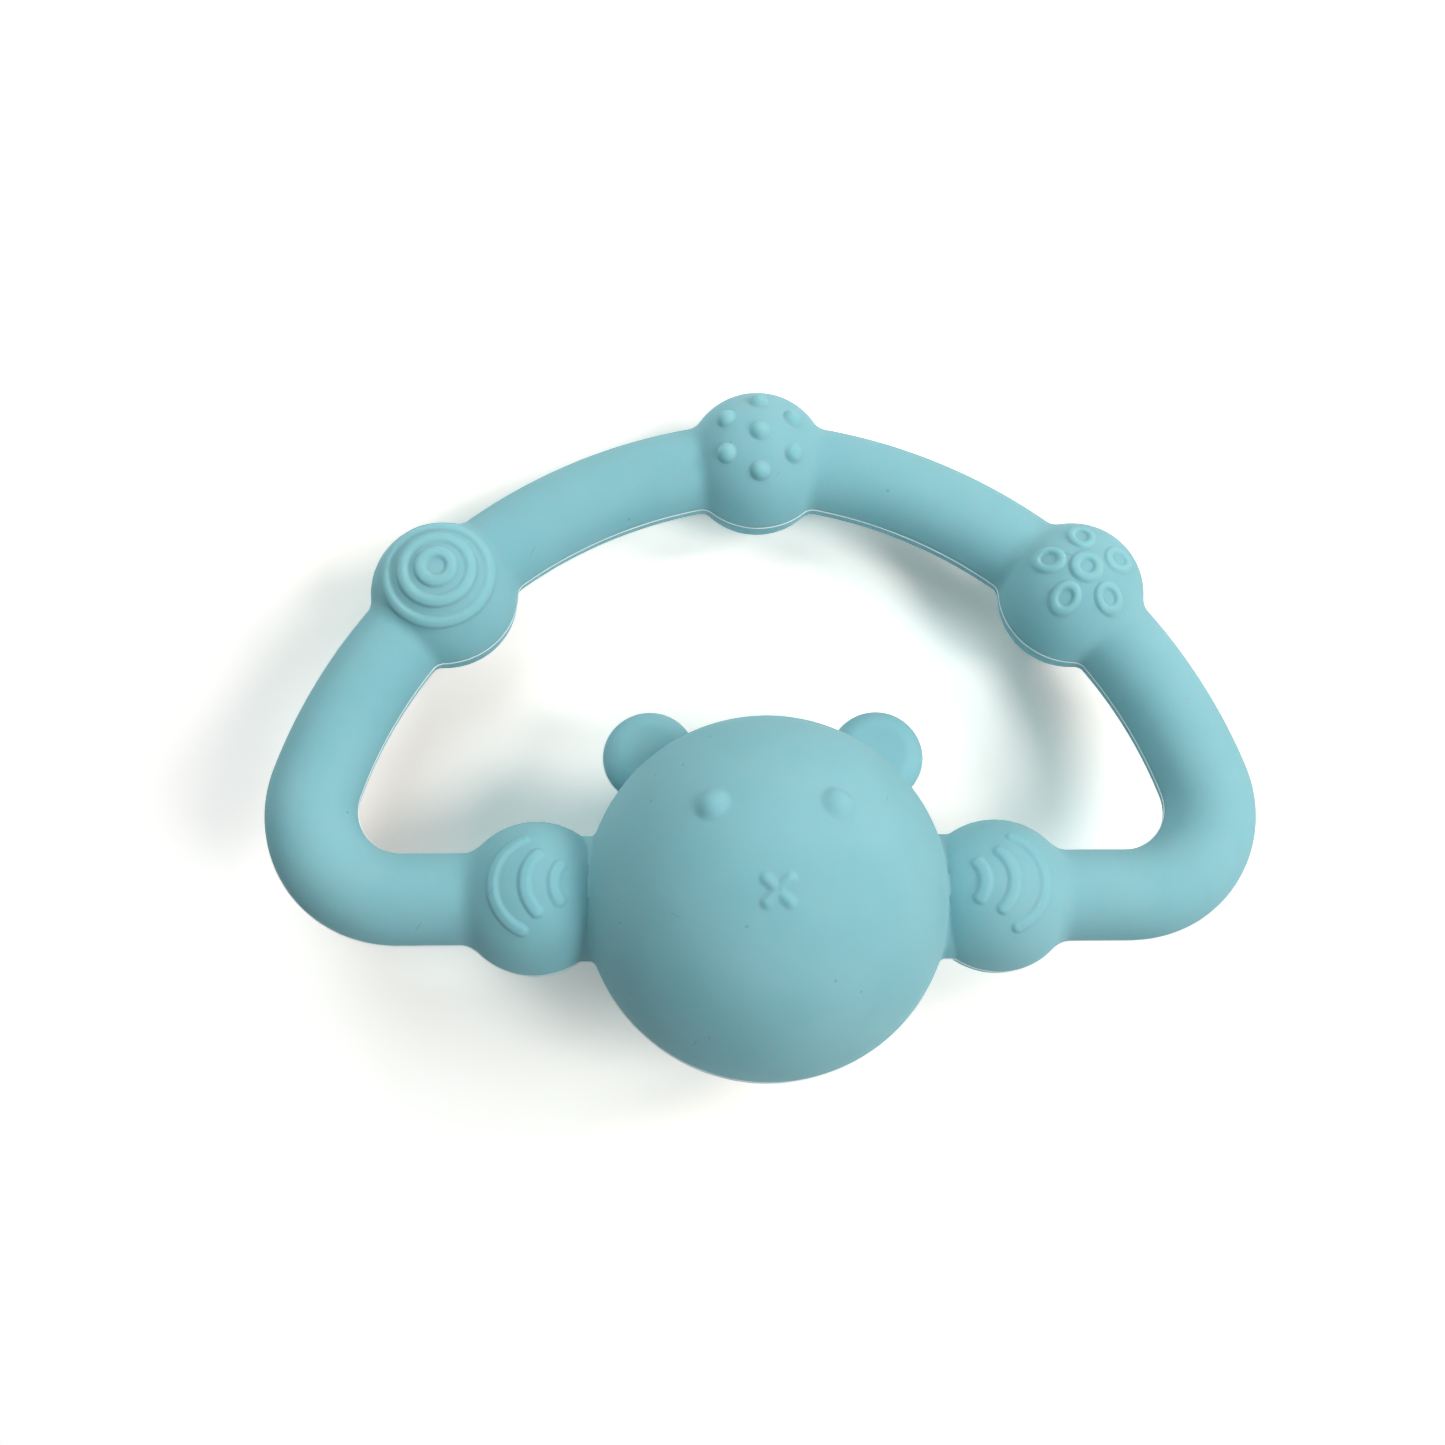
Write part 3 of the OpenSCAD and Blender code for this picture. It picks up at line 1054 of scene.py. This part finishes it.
@dataclass(frozen=True)
class Flecks:
    """Marks scattered over a surface, one in some cells of a grid.

    Attributes:
        colour: Colour of the marks.
        show: How strongly they cover what is under them.
        cells: Size of a cell along each axis, in millimetres. A thin cell gives a thin mark.
        reach: Least and greatest half-size of a mark, in cells.
        rare: Share of the cells that stay empty.
        turns: Turn about the vertical of each grid, in degrees.
        waver: How far the marks bend, in millimetres.
        sway: Length of a bend over its width.
        gate: Share of the cells over which empty turns to full.
        edge: Soft edge of the smallest mark, as a share of its half-size.
    """

    colour: str
    show: float
    cells: tuple[float, float, float]
    reach: tuple[float, float]
    rare: float
    turns: tuple[float, ...] = (0.0,)
    waver: float = 0.0
    sway: float = 6.0
    gate: float = 0.001
    edge: float = 0.4


class Pattern:
    """Shader nodes of one material, with patterns laid out in millimetres on the object."""

    def __init__(self, name: str) -> None:
        """Starts the material.

        Args:
            name: Name of the material.
        """
        self.material = bpy.data.materials.new(name)
        self.material.use_nodes = True
        self.tree = self.material.node_tree
        self.shader = self.tree.nodes["Principled BSDF"]
        self.place = Field(self.tree, add_node(self.tree, "ShaderNodeTexCoord").outputs["Object"])

    def scaled(self, size: float, detail: float = 2.0) -> dict[str, Any]:
        """Inputs of a cloudy pattern of that size in millimetres."""
        return {"Vector": self.place, "Scale": per_mm(size), "Detail": detail}

    def over(self, under: Any, top: str, value: Field, span: tuple[float, float] = (0.0, 1.0),
             show: float = 1.0) -> Field:
        """Lays a colour over another where a value runs through a span.

        Args:
            under: Colour underneath.
            top: Colour on top, in hex digits.
            value: The value.
            span: Values where the colour on top starts, and where it shows most.
            show: How strongly it covers the other there.

        Returns:
            The colour that is seen.
        """
        inputs = {0: value.ramp(*span, 0.0, show), 6: under, 7: linear(top)}
        return Field(self.tree, add_node(self.tree, "ShaderNodeMix", inputs, data_type="RGBA").outputs[2])

    def drift(self, first: str, second: str, size: float, span: tuple[float, float]) -> Field:
        """A colour that drifts between two in patches, as the noise runs through a span."""
        clouds = Field.of(self.tree, "ShaderNodeTexNoise", self.scaled(size))
        return self.over(linear(first), second, clouds, span)

    def grain(self, size: float, depth: float, detail: float = 2.0, under: Field | None = None) -> Field:
        """Raises a surface in an uneven pattern.

        Args:
            size: Size of the pattern, in millimetres.
            depth: Height of the pattern, in millimetres.
            detail: Finer layers in the pattern.
            under: Normal of the surface that is raised.

        Returns:
            Normal of the raised surface.
        """
        height = Field.of(self.tree, "ShaderNodeTexNoise", self.scaled(size, detail))
        inputs = {"Height": height, "Distance": depth * MM}
        if under:
            inputs["Normal"] = under
        return Field.of(self.tree, "ShaderNodeBump", inputs)

    def flecks(self, marks: Flecks, turn: float) -> Field:
        """Scatters marks over one grid of cells.

        Args:
            marks: Size and number of the marks.
            turn: Turn of the grid about the vertical, in degrees.

        Returns:
            A number that is one on the marks.
        """
        place = self.place
        if marks.waver:
            bend = add_node(self.tree, "ShaderNodeTexNoise", self.scaled(marks.waver * marks.sway))
            bend = Field(self.tree, bend.outputs["Color"]).vector("SCALE", Scale=marks.waver * MM)
            place = place.vector("ADD", bend)
        spin = {"Vector": place, "Rotation": (0.0, 0.0, math.radians(turn))}
        place = Field.of(self.tree, "ShaderNodeMapping", spin)
        fit = {"Vector": place, "Scale": tuple(per_mm(side) for side in marks.cells)}
        place = Field.of(self.tree, "ShaderNodeMapping", fit)
        cell = add_node(self.tree, "ShaderNodeTexVoronoi", {"Vector": place, "Scale": 1.0})
        chance = Field.of(self.tree, "ShaderNodeSeparateColor", {0: cell.outputs["Color"]})
        full = chance.ramp(marks.rare, marks.rare + marks.gate)
        near = chance.ramp(marks.rare, 1.0, *marks.reach) * full - Field(self.tree, cell.outputs["Distance"])
        return near.ramp(0.0, marks.reach[0] * marks.edge)


@dataclass(frozen=True)
class MouldedSilicone:
    """Matte food-grade silicone, powder blue, with the dust that such rubber holds.

    Attributes:
        name: Name of the material.
        colour: Its blue.
        cloud: A paler blue that drifts through it.
        cloud_size: Size of the drifts, in millimetres.
        cloud_span: Noise values between which the blues change.
        rubbed: Blue of the raised textures.
        relief_gap: Distances from a texture between which that blue sets in, in millimetres.
        dust: Specks on the surface.
        hairs: Hairs on the surface.
        rough: Roughness.
        rough_play: How far the roughness varies.
        rough_span: Noise values between which it varies.
        rough_size: Size of the patches in which it varies, in millimetres.
        rough_detail: Finer layers in those patches.
        grain_size: Size of the fine grain, coarser than the real one so that it shows, in millimetres.
        grain_depth: Depth of the fine grain, in millimetres.
        skin_size: Size of the waves in the skin, in millimetres.
        skin_depth: Depth of the waves, in millimetres.
        skin_detail: Finer layers in the waves.
        ior: Index of refraction.
        shine: Level of the shine.
        depth: Share of the light that goes under the surface.
        bleed: How far red, green and blue go there, in millimetres.
    """

    name: str = "moulded_silicone"
    colour: str = "#85BCC4"
    cloud: str = "#8CC0C8"
    cloud_size: float = 9.0
    cloud_span: tuple[float, float] = (0.35, 0.65)
    rubbed: str = "#8DC1C7"
    relief_gap: tuple[float, float] = (0.08, 0.01)
    dust: Flecks = Flecks("#45767E", 0.34, (2.6, 2.6, 2.6), (0.03, 0.075), 0.62)
    hairs: Flecks = Flecks("#5C98A2", 0.55, (7.0, 0.5, 7.0), (0.06, 0.13), 0.95, (24.0, -52.0), 0.35)
    rough: float = 0.74
    rough_play: float = 0.04
    rough_span: tuple[float, float] = (0.3, 0.7)
    rough_size: float = 2.2
    rough_detail: float = 3.0
    grain_size: float = 0.22
    grain_depth: float = 0.006
    skin_size: float = 3.5
    skin_depth: float = 0.03
    skin_detail: float = 1.0
    ior: float = 1.41
    shine: float = 0.42
    depth: float = 0.65
    bleed: tuple[float, float, float] = (0.4, 1.3, 1.5)

    def material(self) -> bpy.types.Material:
        """Gives the eye a soft blue with faint clouding, paler textures, a fine grain, dust and a few hairs.

        Returns:
            The material.
        """
        on = Pattern(self.name)
        colour = on.drift(self.colour, self.cloud, self.cloud_size, self.cloud_span)
        # Paler blue over the whole of the raised textures, laid by their distance alone.
        gap = add_node(on.tree, "ShaderNodeAttribute", attribute_name=Mark.TEXTURE_GAP.value).outputs["Fac"]
        colour = on.over(colour, self.rubbed, Field(on.tree, gap), self.relief_gap)
        for marks in (self.dust, self.hairs):
            for turn in marks.turns:
                colour = on.over(colour, marks.colour, on.flecks(marks, turn), show=marks.show)
        rough = Field.of(on.tree, "ShaderNodeTexNoise", on.scaled(self.rough_size, self.rough_detail))
        rough = rough.ramp(*self.rough_span, self.rough - self.rough_play, self.rough + self.rough_play)
        grain = on.grain(self.grain_size, self.grain_depth)
        skin = on.grain(self.skin_size, self.skin_depth, self.skin_detail, grain)
        feed(on.shader, {"Base Color": colour, "Roughness": rough, "Normal": skin, "IOR": self.ior,
                         "Specular IOR Level": self.shine, "Subsurface Weight": self.depth,
                         "Subsurface Radius": self.bleed, "Subsurface Scale": MM})
        return on.material


@dataclass(frozen=True)
class PaintedFlashHighlight:
    """Paper-thin silicone at the parting line, painted near white: a painted highlight for the light it
    catches and lets through.
    """

    name: str = "silicone_flash"
    colour: str = "#F2FCFE"
    shade: str = "#DDF1F6"
    shade_size: float = 1.6
    shade_span: tuple[float, float] = (0.3, 0.7)
    rough: float = 0.5

    def material(self) -> bpy.types.Material:
        """Gives the eye the pale hairline along the inner edges, a painted highlight.

        Returns:
            The material.
        """
        on = Pattern(self.name)
        # The near-white colours are a painted highlight along the parting line.
        colour = on.drift(self.colour, self.shade, self.shade_size, self.shade_span)
        feed(on.shader, {"Base Color": colour, "Roughness": self.rough})
        return on.material


@dataclass(frozen=True)
class MouldedPlastic:
    """Hard plastic of the rattle inside."""

    name: str
    colour: str
    streak: str
    rough: float
    streak_size: float = 4.0
    streak_span: tuple[float, float] = (0.3, 0.7)
    grain_size: float = 0.4
    grain_depth: float = 0.01

    def material(self) -> bpy.types.Material:
        """Gives the eye a plain moulded surface with faint flow marks.

        Returns:
            The material.
        """
        on = Pattern(self.name)
        colour = on.drift(self.colour, self.streak, self.streak_size, self.streak_span)
        grain = on.grain(self.grain_size, self.grain_depth)
        feed(on.shader, {"Base Color": colour, "Roughness": self.rough, "Normal": grain})
        return on.material


@dataclass
class Rattle:
    """The capsule and the pellets inside the head, whose shapes the frame has right."""

    capsule: MouldedPlastic = MouldedPlastic("moulded_polypropylene", "#F1EEE6", "#E9E5DB", 0.42)
    pellet: MouldedPlastic = MouldedPlastic("tumbled_polystyrene", "#A9ADB0", "#9DA2A6", 0.25)

    def dress(self, nodes: Mapping[str, bpy.types.Object]) -> None:
        """Gives each node of the rattle its finish.

        Args:
            nodes: The frame's objects by name.
        """
        finishes = {Slot.CAPSULE.value: self.capsule.material(), Slot.PELLET.value: self.pellet.material()}
        for name, obj in nodes.items():
            for start, material in finishes.items():
                if name.startswith(start):
                    obj.data.materials.clear()
                    obj.data.materials.append(material)
                    log.info("%s: %s", name, material.name)


def seen(tree: bpy.types.NodeTree) -> Field:
    """Tells the rays that show the background, straight, mirrored or through glass.

    Args:
        tree: The tree that asks.

    Returns:
        A number that is one for such rays.
    """
    rays = add_node(tree, "ShaderNodeLightPath").outputs
    share = Field(tree, rays["Is Camera Ray"])
    for kind in ("Is Glossy Ray", "Is Transmission Ray"):
        share = share.most(Field(tree, rays[kind]))
    return share


@dataclass(frozen=True)
class WhitePaper:
    """Uncoated white paper.

    Attributes:
        name: Name of the material.
        tone: Its colour as it is seen.
        gain: How much brighter it is seen than that colour.
        bounce: Colour that it gives to the light it sends back.
        fade: Distances from the middle between which it runs out into plain white, in metres.
    """

    name: str = "white_paper"
    tone: str = "#FFF8F2"
    gain: float = 1.5
    bounce: str = "#C9DADC"
    fade: tuple[float, float] = (0.044, 0.07)

    def material(self) -> bpy.types.Material:
        """Gives the eye white paper that holds the shadow and runs out into plain white.

        Returns:
            The material.
        """
        on = Pattern(self.name)
        shown = seen(on.tree)
        white = tuple(level * self.gain for level in linear(self.tone))
        inputs = {0: shown, 6: linear(self.bounce), 7: white}
        colour = add_node(on.tree, "ShaderNodeMix", inputs, data_type="RGBA").outputs[2]
        feed(on.shader, {"Base Color": colour, "Roughness": 1.0, "Specular IOR Level": 0.0})
        share = on.place.vector("LENGTH").ramp(*self.fade) * shown
        plain = Field.of(on.tree, "ShaderNodeEmission", {"Color": WHITE, "Strength": 1.0})
        mixed = Field.of(on.tree, "ShaderNodeMixShader", {0: share, 1: on.shader.outputs[0], 2: plain})
        feed(on.tree.nodes["Material Output"], {"Surface": mixed})
        return on.material


@dataclass(frozen=True)
class Lamp:
    """A round soft lamp that looks at the ring, with angles in degrees and sizes in metres."""

    name: str
    azimuth: float
    elevation: float
    distance: float
    width: float
    watts: float
    colour: str


@dataclass
class Studio:
    """White paper in a white room, with soft lamps on the right, behind, low at the back and on the left.

    Attributes:
        paper: Finish of the paper.
        paper_half: Half of the paper's side, in metres.
        lamps: The lamps.
    """

    paper: WhitePaper = WhitePaper()
    paper_half: float = 0.6
    lamps: tuple[Lamp, ...] = (
        Lamp("key", 18.0, 42.0, 0.34, 0.1, 0.43, "#FFF0EC"),
        Lamp("window", -30.0, 42.0, 0.72, 0.2, 1.44, "#EEFDFF"),
        Lamp("side", -14.0, 56.0, 0.72, 0.2, 1.21, "#FFFAF9"),
        Lamp("back", 110.0, 56.0, 0.34, 0.235, 0.437, "#E8FCFF"),
        Lamp("rim", 110.0, 12.0, 0.34, 0.235, 0.37, "#FFF0ED"),
        Lamp("fill", 235.0, 56.0, 0.72, 0.5, 0.825, "#FFFFFF"),
    )

    def lay_paper(self) -> None:
        """Lays the paper under the ring."""
        mesh = bpy.data.meshes.new("paper")
        r = self.paper_half
        mesh.from_pydata([(-r, -r, 0.0), (r, -r, 0.0), (r, r, 0.0), (-r, r, 0.0)], [], [(0, 1, 2, 3)])
        mesh.materials.append(self.paper.material())
        sheet = bpy.data.objects.new("paper", mesh)
        bpy.context.scene.collection.objects.link(sheet)

    def hang_lamps(self) -> None:
        """Hangs the lamps round the ring, each turned to it."""
        for lamp in self.lamps:
            light = bpy.data.lights.new(lamp.name, "AREA")
            light.shape = "DISK"
            light.size = lamp.width
            light.energy = lamp.watts
            light.color = linear(lamp.colour)[:3]
            obj = bpy.data.objects.new(lamp.name, light)
            out = spread(math.radians(90 - lamp.elevation), math.radians(lamp.azimuth))
            turned = out.to_track_quat("Z", "Y").to_matrix().to_4x4()
            obj.matrix_world = Matrix.Translation(out * lamp.distance) @ turned
            bpy.context.scene.collection.objects.link(obj)

    def build(self) -> None:
        """Makes the paper, the lamps and the white room, which is seen but gives no light."""
        self.lay_paper()
        self.hang_lamps()
        world = bpy.data.worlds.new("room")
        world.use_nodes = True
        tree = world.node_tree
        tree.nodes.clear()
        room = Field.of(tree, "ShaderNodeBackground", {"Color": WHITE, "Strength": seen(tree)})
        add_node(tree, "ShaderNodeOutputWorld", {"Surface": room})
        bpy.context.scene.world = world


@dataclass(frozen=True)
class PhotoCamera:
    """The camera almost straight above the ring.

    Attributes:
        place: Where it stands, in millimetres.
        aim: What it looks at, in millimetres.
        turn: Turn about its line of sight, in degrees.
        lens: Focal length in millimetres.
        sensor: Width of its sensor in millimetres.
        near: Nearest thing that it shows, in millimetres.
    """

    place: tuple[float, float, float] = (-9.676, -17.378, 175.617)
    aim: tuple[float, float, float] = (-3.437, 1.174, 0.0)
    turn: float = 0.39
    lens: float = 41.66
    sensor: float = 36.0
    near: float = 10.0

    def build(self) -> None:
        """Makes the camera and hands it to the scene."""
        data = bpy.data.cameras.new("camera")
        data.lens = self.lens
        data.sensor_width = self.sensor
        data.clip_start = self.near * MM
        obj = bpy.data.objects.new("camera", data)
        ahead = (Vector(self.aim) - Vector(self.place)).normalized()
        hint = Vector((math.sin(math.radians(self.turn)), math.cos(math.radians(self.turn)), 0.0))
        right = ahead.cross(hint).normalized()
        turned = Matrix((right, right.cross(ahead), -ahead)).transposed().to_4x4()
        obj.matrix_world = Matrix.Translation(Vector(self.place) * MM) @ turned
        bpy.context.scene.collection.objects.link(obj)
        bpy.context.scene.camera = obj
        bpy.context.scene.view_settings.view_transform = "Standard"


def main() -> None:
    """Builds and dresses the ring, then the stage."""
    logging.basicConfig(level=logging.INFO, format="%(name)s %(message)s")
    ring = GripRing()
    halves, outline = ring.build(MouldedSilicone().material())
    ring.dress(halves)
    line = PartingLine()
    line.dress(line.build(outline, ring.lay_down, PaintedFlashHighlight().material()))
    Rattle().dress(frame["nodes"])
    Studio().build()
    PhotoCamera().build()


if __name__ == "__main__":
    main()
